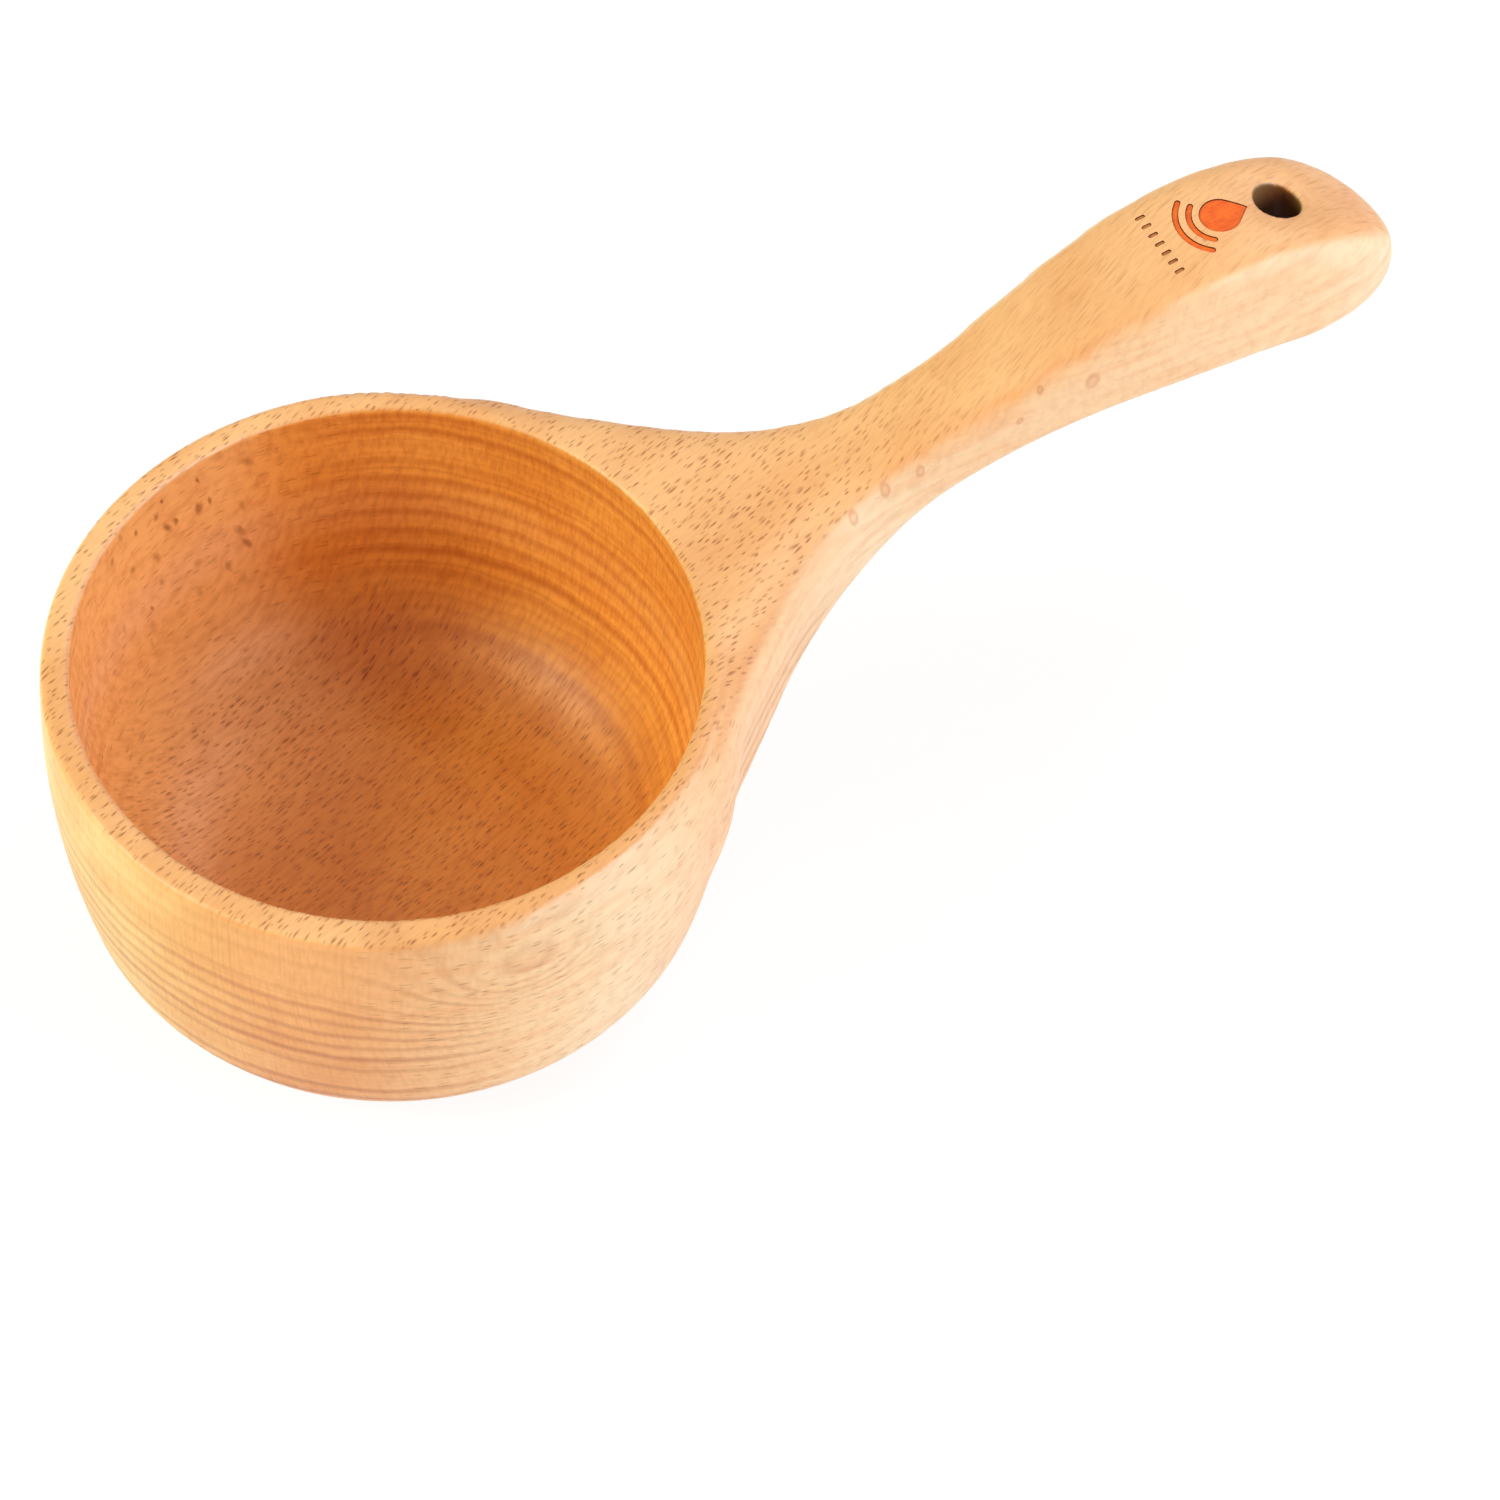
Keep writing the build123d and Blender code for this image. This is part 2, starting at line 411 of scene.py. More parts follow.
    def material(self) -> bpy.types.Material:
        """The finish as a Blender material.

        Returns:
            The material.
        """
        made = bpy.data.materials.new("oiled_beech")
        made.use_nodes = True
        g = Graph(made.node_tree)
        shader = made.node_tree.nodes["Principled BSDF"].inputs
        coord = g.node("ShaderNodeTexCoord").outputs
        normal = coord["Normal"]
        place = g.first("ShaderNodeMapping", {"Vector": coord["Object"], "Scale": (1.0 / MM,) * 3})
        wood = self.wood_place(g, place)
        hollow = self.hollow(g, place)
        outside = g.rest(hollow)
        sheen = self.sheen_patch(g, wood)
        flecks = g.times(self.flecks(g, wood, normal), g.span(hollow, *self.fleck_hollow))
        blots = g.times(self.blots(g, wood), hollow)
        fibre = self.fibre_cloud.share(g, wood)
        height = g.parts(place)[2]
        # The lamp-lit faces outside the hollow get painted light.
        colour = self.ground(g, place, wood, g.times(self.lit_faces.share(g, normal), outside))
        # Painted sheen in the hollow.
        colour = g.blend(g.times(sheen, hollow), colour, self.sheen)
        # Painted shade on the floor of the hollow, weaker under the painted sheen.
        floor = g.times(hollow, g.span(height, *self.floor_shade_height), g.span(sheen, *self.floor_shade_under_sheen))
        for share, tone in (
            # Painted shade on the front faces.
            (g.times(self.front_shade_faces.share(g, normal), outside), self.front_shade_tone),
            # Painted light: the yellow glow on faces looking along the handle.
            (g.times(self.glow_faces.share(g, normal), outside), self.glow_tone),
            # Painted shade in the hollow.
            (hollow, self.hollow_shade),
            # Painted shade on the hollow's floor.
            (floor, self.floor_shade_tone),
            (g.times(self.layers(g, wood, hollow), self.layer_depth), self.line_tone),
            (g.times(fibre, g.span(hollow, *self.fibre_hollow)), self.line_tone),
            (g.most(flecks, blots), self.fleck_tone),
            (self.knot_rings(g, place), self.knot_tone),
            # Painted shade on the walls of the bore.
            (g.span(g.reach(place, self.bore_place), *self.bore_shade_ramp), self.bore_shade),
        ):
            colour = g.blend(share, colour, tone, "MULTIPLY")
        g.feed(shader["Base Color"], colour)
        rough = g.math("ADD", g.times(flecks, self.fleck_roughness), g.times(fibre, self.fibre_roughness))
        g.feed(shader["Roughness"], g.math("ADD", rough, self.roughness))
        relief = g.math("SUBTRACT", g.times(fibre, self.fibre_height), flecks)
        bump = {"Strength": self.bump, "Distance": self.bump_distance, "Height": relief}
        g.feed(shader["Normal"], g.first("ShaderNodeBump", bump))
        g.feed(shader["Specular IOR Level"], self.specular)
        return made

    def wood_place(self, g: Graph, place: Any) -> Socket:
        """Places along the grain, across it and up through the layers, a little wavy.

        Args:
            g: The graph.
            place: The place in the row frame.

        Returns:
            The place in the wood.
        """
        turn = (0.0, 0.0, -math.radians(self.grain_turn))
        turned = g.first("ShaderNodeMapping", {"Vector": place, "Rotation": turn})
        wave = g.vector("SUBTRACT", g.drift(turned, self.wave_scale, self.wave_detail), (0.5, 0.5, 0.5))
        return g.vector("ADD", turned, g.vector("MULTIPLY", wave, self.wave_reach))

    def ground(self, g: Graph, place: Any, wood: Any, lamp_lit: Any) -> Socket:
        """The wood's colour, with the painted light of the lamp-lit faces, before its tones and figure.

        Args:
            g: The graph.
            place: The place in the row frame.
            wood: The place in the wood.
            lamp_lit: How much of the paler colour it has, painted light on the faces turned to the side lamps, except
                at the shoulder, where it has less.

        Returns:
            The colour.
        """
        shoulder = g.away(g.parts(place)[0], self.shoulder_place)
        # Painted light: the lamp-lit faces take the paler colour, less so at the shoulder.
        paler = g.times(lamp_lit, g.span(shoulder, *self.shoulder_ramp))
        top = g.blend(self.tone_cloud.share(g, wood), self.pale, self.tan)
        side = g.blend(self.lit_side_cloud.share(g, wood), self.side, self.lit_side_streak)
        return g.blend(paler, top, side)

    def sheen_patch(self, g: Graph, wood: Any) -> Socket:
        """Where a painted sheen lies on one side of the hollow, paler and redder, from 0 to 1."""
        along, across, _ = g.parts(wood)
        return g.times(g.span(across, *self.sheen_across), g.span(along, *self.sheen_along))

    def hollow(self, g: Graph, place: Any) -> Socket:
        """Whether a place is on the hollow's side of the cup's wall.

        Args:
            g: The graph.
            place: The place in the row frame.

        Returns:
            1 in the hollow and 0 elsewhere.
        """
        reach = g.reach(place, (0.0, self.hollow_shift, 0.0))
        height = g.parts(place)[2]
        depth = g.math("SUBTRACT", self.rim_height, height)
        middle = g.math("SUBTRACT", self.wall_middle, g.times(depth, self.wall_lean))
        inside = g.span(g.math("SUBTRACT", reach, middle), *self.wall_ramp)
        return g.times(inside, g.span(depth, *self.rim_ramp), g.span(height, *self.foot_ramp))

    def flecks(self, g: Graph, wood: Any, normal: Any) -> Socket:
        """Rays: dashes on the flat faces and on the cup's side, faint on the end grain.

        Args:
            g: The graph.
            wood: The place in the wood.
            normal: Where the face looks.

        Returns:
            How dark it is, from 0 to 1.
        """
        along, across, height = g.parts(wood)
        flat = g.times(self.fleck_spots.dark(g, along, across), self.end_faces.share(g, normal),
                       g.span(along, *self.fleck_along))
        streaks = g.times(self.streak_spots.dark(g, along, across), self.streak_depth,
                          g.span(along, *self.streak_along))
        upright = g.times(self.side_spots.dark(g, along, height), g.span(along, *self.side_along))
        turned = self.side_faces.share(g, normal)
        return g.math("ADD", g.times(upright, turned), g.times(g.most(flat, streaks), g.rest(turned)))

    def blots(self, g: Graph, wood: Any) -> Socket:
        """Larger dark spots on one side of the cup, above its floor.

        Args:
            g: The graph.
            wood: The place in the wood.

        Returns:
            How dark it is, from 0 to 1.
        """
        along, across, height = g.parts(wood)
        slanted = g.math("ADD", along, g.times(height, self.blot_slant))
        near = g.span(g.away(along, self.blot_place), *self.blot_along)
        zone = g.times(g.span(across, *self.blot_across), near, g.span(height, *self.blot_height))
        return g.times(self.blot_spots.dark(g, slanted, height), zone)

    def knot_rings(self, g: Graph, place: Any) -> Socket:
        """Small ringed knots on the near side of neck and handle.

        Args:
            g: The graph.
            place: The place in the row frame.

        Returns:
            How dark it is, from 0 to 1.
        """
        total = 0.0
        for middle, radius in self.knots:
            size = (self.knot_narrow * radius, radius, radius)
            reach = g.length(g.vector("DIVIDE", g.vector("SUBTRACT", place, middle), size))
            ring = g.times(g.span(reach, *self.knot_core), g.span(reach, *self.knot_edge))
            total = g.math("ADD", g.times(ring, self.knot_depth), total)
        return total

    def layers(self, g: Graph, wood: Any, hollow: Any) -> Socket:
        """Soft dark bands where a year's growth ends, plain on the cup's end grain and faint elsewhere.

        Args:
            g: The graph.
            wood: The place in the wood.
            hollow: Whether it is in the hollow.

        Returns:
            How dark it is, from 0 to 1.
        """
        along, _, height = g.parts(wood)
        away = g.vector("DIVIDE", g.vector("SUBTRACT", wood, self.swirl_place), self.swirl_reach)
        eye = g.math("EXPONENT", g.times(g.dot(away, away), -0.5))
        lifted = g.math("ADD", height, g.times(eye, self.swirl_height))
        lifted = g.math("ADD", lifted, g.times(g.noise(wood, *self.layer_noise), self.layer_ripple))
        level = g.math("DIVIDE", lifted, self.layer_pitch)
        finer = g.times(self.bands(g, g.times(level, self.finer_layers)), g.span(hollow, *self.finer_hollow))
        band = g.most(self.bands(g, level), finer)
        along = g.math("ABSOLUTE", along)
        ends = g.times(g.span(along, *self.layer_inner), g.span(along, *self.layer_outer))
        ends = g.most(ends, g.times(eye, self.swirl_depth))
        high = g.most(g.span(height, *self.layer_high), hollow, eye)
        low = g.most(g.span(height, *self.layer_low), g.rest(hollow))
        return g.times(band, ends, g.times(high, low))

    def bands(self, g: Graph, level: Any) -> Socket:
        """One soft dark band in each layer, each of its own strength.

        Args:
            g: The graph.
            level: The place up through the layers, in layers.

        Returns:
            How dark it is, from 0 to 1.
        """
        phase = g.math("FRACT", level)
        band = g.times(g.span(phase, *self.band_start), g.span(phase, *self.band_end))
        year = g.first("ShaderNodeTexWhiteNoise", {"W": g.math("FLOOR", level)}, noise_dimensions="1D")
        return g.times(band, g.span(year, *self.band_depth, smooth=False))


@dataclass(frozen=True)
class PaintFill:
    """Matt paint rubbed into a recess, mottled where the wood's grain shows through."""

    name: str
    colour: Colour
    shade: Colour
    cloud_noise: Triple = (420.0, 4.0, 0.6)
    cloud_share: float = 0.6
    grain_scale: Triple = (300.0, 1800.0, 1800.0)
    grain_detail: float = 2.0
    grain_share: float = 0.4
    mottle_ramp: Ramp = (0.38, 0.66)
    roughness: float = 0.55
    added_roughness: float = 0.2
    bump: float = 0.1
    bump_distance: float = 0.1 * MM

    def material(self) -> bpy.types.Material:
        """The paint as a Blender material.

        Returns:
            The material.
        """
        made = bpy.data.materials.new(self.name)
        made.use_nodes = True
        g = Graph(made.node_tree)
        shader = made.node_tree.nodes["Principled BSDF"].inputs
        coord = g.node("ShaderNodeTexCoord").outputs["Object"]
        cloud = g.noise(coord, *self.cloud_noise)
        grain = g.noise(g.vector("MULTIPLY", coord, self.grain_scale), 1.0, self.grain_detail)
        mottle = g.math("ADD", g.times(cloud, self.cloud_share), g.times(grain, self.grain_share))
        g.feed(shader["Base Color"], g.blend(g.span(mottle, *self.mottle_ramp), self.colour, self.shade))
        g.feed(shader["Roughness"], g.math("ADD", g.times(mottle, self.added_roughness), self.roughness))
        bump = {"Strength": self.bump, "Distance": self.bump_distance, "Height": mottle}
        g.feed(shader["Normal"], g.first("ShaderNodeBump", bump))
        return made


def plain_mesh(holder: bpy.types.Object, name: str) -> bpy.types.Mesh:
    """What an object's modifiers make of it, as a mesh of its own.

    Args:
        holder: The object with live modifiers.
        name: The new mesh's name.

    Returns:
        The mesh.
    """
    graph = bpy.context.evaluated_depsgraph_get()
    mesh = bpy.data.meshes.new_from_object(holder.evaluated_get(graph), depsgraph=graph)
    mesh.name = name
    return mesh


def placed(name: str, data: Any) -> bpy.types.Object:
    """An object at the origin that shows a mesh, or is a lamp or a camera.

    Args:
        name: The object's name.
        data: Its data.

    Returns:
        The object.
    """
    made = bpy.data.objects.new(name, data)
    bpy.context.scene.collection.objects.link(made)
    return made


@contextmanager
def edited(mesh: bpy.types.Mesh) -> Iterator[bmesh.types.BMesh]:
    """Opens a mesh for edits and writes them back.

    Args:
        mesh: The mesh.

    Yields:
        The mesh in its editable form.
    """
    work = bmesh.new()
    work.from_mesh(mesh)
    yield work
    work.to_mesh(mesh)
    work.free()


def clean(mesh: bpy.types.Mesh) -> None:
    """Takes specks and many-sided faces out of a mesh, so that it stays closed.

    Args:
        mesh: The mesh.
    """
    with edited(mesh) as work:
        bmesh.ops.dissolve_degenerate(work, dist=SPECK, edges=work.edges)
        bmesh.ops.triangulate(work, faces=[face for face in work.faces if len(face.verts) > 4])


class NodeTool:
    """A Geometry Nodes tree with named inputs, run on an object and turned into a plain mesh."""

    def __init__(self, name: str) -> None:
        """Starts the tree with a geometry going in and coming out.

        Args:
            name: The tree's name.
        """
        self.tree = bpy.data.node_groups.new(name, "GeometryNodeTree")
        for way in ("INPUT", "OUTPUT"):
            self.tree.interface.new_socket("Geometry", in_out=way, socket_type="NodeSocketGeometry")
        self.graph = Graph(self.tree)
        self.start = self.graph.node("NodeGroupInput")
        self.identifiers: dict[str, str] = {}

    def inputs(self, **kinds: str) -> list[Socket]:
        """Adds named inputs.

        Args:
            **kinds: Their socket types, by name with underscores for spaces.

        Returns:
            The sockets that carry them in the tree.
        """
        names = {key: key.replace("_", " ") for key in kinds}
        for key, kind in kinds.items():
            socket = self.tree.interface.new_socket(names[key], in_out="INPUT", socket_type=f"NodeSocket{kind}")
            self.identifiers[key] = socket.identifier
        return [self.start.outputs[name] for name in names.values()]

    def finish(self, geometry: Socket) -> None:
        """Sends a geometry out of the tree."""
        self.graph.node("NodeGroupOutput", {"Geometry": geometry})

    def run(self, mesh: bpy.types.Mesh, name: str, **values: Any) -> bpy.types.Mesh:
        """Runs the tree on a mesh.

        Args:
            mesh: The geometry that goes in.
            name: The result's name.
            **values: What goes into the named inputs.

        Returns:
            The result as a plain mesh.
        """
        holder = placed(name + "_holder", mesh)
        modifier = holder.modifiers.new(name, "NODES")
        modifier.node_group = self.tree
        for key, value in values.items():
            modifier[self.identifiers[key]] = value
        made = plain_mesh(holder, name)
        bpy.data.objects.remove(holder)
        return made


@dataclass
class CarvedLadle:
    """The cup and handle, carved from one block, with the top edges of handle and shoulders eased by hand.

    Pairs say where an easing sets in and where it is full, or where it starts to fade and has gone.
    """

    finish: BeechFinish
    voxel: float = 1.25 * MM
    rim_height: float = 66.0 * MM
    rim_band: Pair = (55.0 * MM, 66.5 * MM)
    rim_depth: float = 3.5 * MM
    eased_rim: float = 61.0 * MM
    bore_place: Triple = (188.2 * MM, 0.0, 0.0)
    bore_band: Pair = (5.4 * MM, 6.4 * MM)
    fill_sunk: float = 0.25 * MM
    settle_passes: int = 5
    settle_weight: float = 0.7
    ease_passes: int = 15
    swell: float = 0.7 * MM
    ease_along: Pair = (74.0 * MM, 135.0 * MM)
    ease_height: Pair = (64.0 * MM, 74.0 * MM)
    ease_tip: Pair = (188.0 * MM, 204.0 * MM)
    brow_passes: int = 51
    brow_start: Pair = (-25.0 * MM, 25.0 * MM)
    far_start: Pair = (20.0 * MM, 60.0 * MM)
    brow_end: Pair = (85.0 * MM, 130.0 * MM)
    brow_out: Pair = (59.5 * MM, 63.5 * MM)
    brow_height: Pair = (44.0 * MM, 60.0 * MM)
    near_side: Pair = (-12.0 * MM, 12.0 * MM)
    far_swell: float = 1.9 * MM
    shoulder_place: Triple = (46.0 * MM, 43.5 * MM, 0.0)
    shoulder_band: Pair = (2.0 * MM, 15.0 * MM)
    shoulder_low: Pair = (16.0 * MM, 36.0 * MM)
    shoulder_out: Pair = (60.0 * MM, 62.0 * MM)
    shoulder_fill: float = 1.3 * MM
    crease: float = 70.0

    def block(self, nodes: Nodes) -> bpy.types.Mesh:
        """The carved solid with its recesses filled level, meshed evenly.

        Args:
            nodes: The CAD objects by name.

        Returns:
            The even mesh.
        """
        mesh = bpy.data.meshes.new("block")
        with edited(mesh) as work:
            work.from_mesh(nodes[Node.LADLE.value].data)
            for node in (Node.DROP, Node.RIPPLES, Node.STROKES):
                for lift in (0.0, self.fill_sunk):
                    plug = nodes[node.value].data.copy()
                    plug.transform(Matrix.Translation((0.0, 0.0, lift)))
                    work.from_mesh(plug)
                    bpy.data.meshes.remove(plug)
            bmesh.ops.remove_doubles(work, verts=work.verts, dist=SPECK)
        holder = placed("block_holder", mesh)
        remesh = holder.modifiers.new("even", "REMESH")
        remesh.mode = "VOXEL"
        remesh.voxel_size = self.voxel
        made = plain_mesh(holder, "even_block")
        bpy.data.objects.remove(holder)
        return made

    def fine_edge(self, face: bmesh.types.BMFace) -> bool:
        """Whether a face lies at the rim or at the mouth of the bore, where the edges are small.

        Args:
            face: The face.

        Returns:
            True at a fine edge.
        """
        middle = face.calc_center_median()
        eased = middle.x > (self.brow_start if middle.y < 0.0 else self.far_start)[0]
        outer = self.eased_rim if eased else self.rim_band[1]
        rim = self.rim_band[0] < middle.xy.length < outer and middle.z > self.rim_height - self.rim_depth
        return rim or (middle - Vector(self.bore_place)).xy.length < self.bore_band[1]

    def refine(self, mesh: bpy.types.Mesh) -> None:
        """Halves the faces at the fine edges.

        Args:
            mesh: The even mesh.
        """
        with edited(mesh) as work:
            edges = {edge for face in work.faces if self.fine_edge(face) for edge in face.edges}
            bmesh.ops.subdivide_edges(work, edges=list(edges), cuts=1, use_grid_fill=True)

    def masks(self, g: Graph, place: Any, bore: Any) -> dict[str, Socket]:
        """How much each easing takes hold of a place.

        Args:
            g: The graph.
            place: The place in the row frame.
            bore: Where the bore is.

        Returns:
            The handle's easing, the shoulders' on the near and the far side, the filling of the corner between
            shoulder and cup, and as Share the most of these, each from 0 to 1.
        """
        x, y, z = g.parts(place)
        plan = g.vector("MULTIPLY", place, LEVEL)
        out = g.length(plan)
        upper = g.most(g.span(z, *self.ease_height), g.span(x, *self.ease_tip))
        handle = g.times(g.span(x, *self.ease_along), upper, g.span(g.reach(place, bore), *self.bore_band))
        brow = g.times(g.span(x, *self.brow_start), g.span(x, *self.brow_end, 1.0, 0.0),
                       g.span(z, *self.brow_height), g.span(out, *self.brow_out))
        near_brow = g.times(brow, g.span(y, *self.near_side, 1.0, 0.0))
        far_brow = g.times(g.math("SUBTRACT", brow, near_brow), g.span(x, *self.far_start))
        mirrored = g.vector("MULTIPLY", plan, (0.0, -1.0, 0.0))
        aside = g.vector("SUBTRACT", g.vector("MAXIMUM", plan, mirrored), self.shoulder_place)
        corner = g.times(g.span(g.length(aside), *self.shoulder_band, 1.0, 0.0),
                         g.span(out, *self.shoulder_out), g.span(z, *self.shoulder_low))
        return {"Share": g.most(handle, corner, near_brow, far_brow), "Handle": handle, "Near Brow": near_brow,
                "Far Brow": far_brow, "Corner": corner}

    def easing(self) -> NodeTool:
        """The tree that eases the edges and keeps all else on the carved solid's surface.

        Returns:
            The tree.
        """
        tool = NodeTool("hand_easing")
        g = tool.graph
        solid, settle, passes, bore, swell, rounds, widening, fill = tool.inputs(
            Solid="Object", Settle_Passes="Int", Ease_Passes="Int", Bore_Place="Vector", Swell="Float",
            Brow_Passes="Int", Far_Swell="Float", Shoulder_Fill="Float")
        place = g.place()
        kept = g.node("GeometryNodeCaptureAttribute", {"Geometry": tool.start.outputs["Geometry"]})
        for name, mask in self.masks(g, place, bore).items():
            kept.capture_items.new("FLOAT", name)
            g.feed(kept.inputs[name], mask)
        held = kept.outputs
        shape = self.blurred(g, held["Geometry"], settle, self.settle_weight)
        normal = g.first("GeometryNodeInputNormal")
        outward = g.scaled(normal, g.times(held["Handle"], swell))
        widened = g.scaled(g.vector("MULTIPLY", normal, LEVEL), g.times(held["Far Brow"], widening))
        radial = g.vector("NORMALIZE", g.vector("MULTIPLY", place, LEVEL))
        filled = g.scaled(radial, g.times(held["Corner"], fill))
        shape = g.moved(shape, "Offset", g.vector("ADD", g.vector("ADD", outward, widened), filled))
        shape = self.blurred(g, shape, rounds, held["Near Brow"])
        shape = self.blurred(g, shape, passes, held["Share"])
        nearest = g.first("GeometryNodeProximity", {0: g.surface(solid)}, target_element="FACES")
        back = g.node("ShaderNodeMix", {0: held["Share"], 4: nearest, 5: place}, data_type="VECTOR").outputs[1]
        tool.finish(g.moved(shape, "Position", back))
        return tool

    def blurred(self, g: Graph, shape: Any, passes: Any, weight: Any) -> Socket:
        """A shape whose points move towards the middle of their neighbours.

        Args:
            g: The graph.
            shape: The geometry.
            passes: How many times they move.
            weight: How far they move each time.

        Returns:
            The smoother geometry.
        """
        inputs = {"Iterations": passes, "Weight": weight}
        soft = g.node("GeometryNodeBlurAttribute", inputs, data_type="FLOAT_VECTOR")
        g.feed(next(s for s in soft.inputs if s.enabled and s.name == "Value"), g.place())
        return g.moved(shape, "Position", next(s for s in soft.outputs if s.enabled))

    def build(self, nodes: Nodes) -> bpy.types.Object:
        """The carved body before its mark is cut.

        Args:
            nodes: The CAD objects by name.

        Returns:
            The object.
        """
        even = self.block(nodes)
        self.refine(even)
        mesh = self.easing().run(
            even, "carved_ladle", Solid=nodes[Node.LADLE.value], Settle_Passes=self.settle_passes,
            Ease_Passes=self.ease_passes, Bore_Place=self.bore_place, Swell=self.swell,
            Brow_Passes=self.brow_passes, Far_Swell=self.far_swell, Shoulder_Fill=self.shoulder_fill)
        mesh.materials.clear()
        mesh.materials.append(self.finish.material())
        return placed("carved_ladle", mesh)

    def engrave(self, body: bpy.types.Object, cutters: list[bpy.types.Object]) -> None:
        """Cuts the recesses of the mark and smooths the shading.

        Args:
            body: The carved body.
            cutters: What is taken out.
        """
        for cutter in cutters:
            cut = body.modifiers.new(cutter.name, "BOOLEAN")
            cut.operation = "DIFFERENCE"
            cut.solver = "EXACT"
            cut.object = cutter
            cut.material_mode = "TRANSFER"
            mesh = plain_mesh(body, body.name)
            body.modifiers.clear()
            body.data = mesh
            bpy.data.objects.remove(cutter)
        body.data.shade_smooth()
        body.data.set_sharp_from_angle(angle=math.radians(self.crease))


@dataclass
class HandleMark:
    """A drop, its ripples and a row of strokes, engraved in the top of the handle and filled with paint.

    Places and sizes are metres in the row frame.
    """

    orange: PaintFill
    brown: PaintFill
    drop_place: Triple = (175.7 * MM, 0.0, 0.0)
    drop_radius: float = 4.0 * MM
    drop_length: float = 10.0 * MM
    drop_points: int = 72
    ripple_count: int = 2
    ripple_width: float = 1.2 * MM
    ripple_gap: float = 1.3 * MM
    ripple_sweep: float = 100.0
    ripple_points: int = 96
    ripple_parts: float = 3.0
    stroke_count: int = 7
    stroke_length: float = 2.0 * MM
    stroke_width: float = 0.8 * MM
    stroke_pitch: float = 2.4 * MM
    stroke_place: Triple = (162.7 * MM, 0.0, 0.0)
    stroke_points: int = 24
    depth: float = 0.9 * MM
    sunk: float = 0.22 * MM
    gap: float = 0.12 * MM
    stroke_gap: float = 0.08 * MM
    fill_cuts: int = 2
    above: float = 200.0 * MM

    def slab(self, tool: NodeTool, outline: Any) -> None:
        """Ends a tree: fills an outline, gives it thickness, lays it along the wood and paints it.

        Args:
            tool: The tree.
            outline: The closed curve, flat on the row frame's ground.
        """
        g = tool.graph
        wood, top, thick, finish = tool.inputs(Wood="Object", Top="Float", Thickness="Float", Finish="Material")
        flat = g.first("GeometryNodeFillCurve", {"Curve": outline}, mode="TRIANGLES")
        fine = g.first("GeometryNodeSubdivideMesh", {"Mesh": flat, "Level": self.fill_cuts})
        rise = {"Mesh": fine, "Offset": UP, "Offset Scale": thick, "Individual": False}
        raised = g.first("GeometryNodeExtrudeMesh", rise, mode="FACES")
        joined = g.node("GeometryNodeJoinGeometry")
        for part in (raised, g.first("GeometryNodeFlipFaces", {"Mesh": fine})):
            g.feed(joined.inputs[0], part)
        closed = g.first("GeometryNodeMergeByDistance", {"Geometry": joined.outputs[0], "Distance": SPECK})
        x, y, _ = g.parts(g.place())
        ray = g.node("GeometryNodeRaycast", {
            "Target Geometry": g.surface(wood), "Source Position": g.joined(x, y, self.above),
            "Ray Direction": DOWN, "Ray Length": self.above})
        level = g.parts(ray.outputs["Hit Position"])[2]
        lift = g.math("ADD", level, g.math("SUBTRACT", top, thick))
        real = g.real(g.moved(closed, "Offset", g.joined(z=lift)))
        tool.finish(g.first("GeometryNodeSetMaterial", {"Geometry": real, "Material": finish}))

    def ring(self, g: Graph, points: int, radius: Any) -> Socket:
        """A circle around the origin."""
        return g.first("GeometryNodeCurvePrimitiveCircle", {"Resolution": points, "Radius": radius})

    def drop_tool(self) -> NodeTool:
        """The drop: a circle drawn out to a point along the handle.

        Returns:
            The tree.
        """
        tool = NodeTool("drop_fill")
        g = tool.graph
        radius, turn, where = tool.inputs(Radius="Float", Shoulder="Float", Place="Vector")
        place = g.place()
        x, y, _ = g.parts(place)
        angle = g.math("ABSOLUTE", g.math("ARCTAN2", y, x))
        lean = g.math("COSINE", g.most(g.math("SUBTRACT", turn, angle), 0.0))
        drawn = g.scaled(place, g.math("DIVIDE", 1.0, lean))
        ring = self.ring(g, self.drop_points, radius)
        self.slab(tool, g.moved(ring, "Position", g.vector("ADD", drawn, where)))
        return tool

    def stroke_tool(self) -> NodeTool:
        """The row of strokes across the handle, each a circle pulled apart along it.

        Returns:
            The tree.
        """
        tool = NodeTool("stroke_fills")
        g = tool.graph
        count, pitch, length, width, where = tool.inputs(
            Count="Int", Pitch="Float", Length="Float", Width="Float", Place="Vector")
        first = g.times(g.math("SUBTRACT", count, 1.0), pitch, -0.5)
        start = g.vector("ADD", where, g.joined(y=first))
        line = {"Count": count, "Start Location": start, "Offset": g.joined(y=pitch)}
        row = g.first("GeometryNodeMeshLine", line)
        side = g.math("SIGN", g.parts(g.place())[0])
        half = g.times(g.math("SUBTRACT", length, width), 0.5)
        ring = self.ring(g, self.stroke_points, g.times(width, 0.5))
        stroke = g.moved(ring, "Offset", g.joined(g.times(side, half)))
        self.slab(tool, g.real(g.first("GeometryNodeInstanceOnPoints", {"Points": row, "Instance": stroke})))
        return tool

    def ripple_tool(self) -> NodeTool:
        """The ripples: circles pulled into rounded strokes and bent round the drop, each a step further out.

        Returns:
            The tree.
        """
        tool = NodeTool("ripple_fills")
        g = tool.graph
        count, inner, step, width, sweep, where = tool.inputs(
            Count="Int", First_Radius="Float", Step="Float", Width="Float", Sweep="Float", Place="Vector")
        points = g.first("GeometryNodePoints", {"Count": count})
        radius = g.math("ADD", inner, g.times(g.first("GeometryNodeInputIndex"), step))
        kept = {"Geometry": points, "Name": "ring_radius", "Value": radius}
        marked = g.first("GeometryNodeStoreNamedAttribute", kept, data_type="FLOAT", domain="POINT")
        ring = self.ring(g, self.ripple_points, 1.0)
        rings = g.real(g.first("GeometryNodeInstanceOnPoints", {"Points": marked, "Instance": ring}))
        own = g.first("GeometryNodeInputNamedAttribute", {"Name": "ring_radius"}, data_type="FLOAT")
        x, y, _ = g.parts(g.place())
        half = g.times(width, 0.5)
